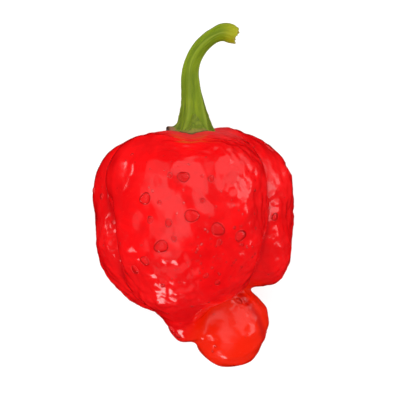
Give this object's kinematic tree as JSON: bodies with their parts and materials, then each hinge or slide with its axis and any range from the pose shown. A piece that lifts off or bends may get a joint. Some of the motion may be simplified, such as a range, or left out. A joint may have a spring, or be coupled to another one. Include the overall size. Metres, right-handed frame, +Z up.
{
  "type": "habanero pepper",
  "caption": "Ripe red habanero pod with pressed-together lobes, a hooked bulb tail, a calyx and a curved cut green stem, lying on its back lobes.",
  "frame": {"origin": "centre of the bounding box's underside, on the surface that the pod lies on", "axes": "+Y along the pod from its tail towards the stem, +X to the side of the lobe behind the bulb, +Z up"},
  "size_m": [0.0362, 0.0612, 0.032],
  "materials": {
    "skin": "waxy glossy red skin",
    "sepal": "dull olive green, dried brown at the tips",
    "rind": "satin yellow-green, ridged"
  },
  "bodies": {
    "root": {"fruit": "skin", "calyx": "sepal", "stem": "rind"}
  },
  "joints": []
}
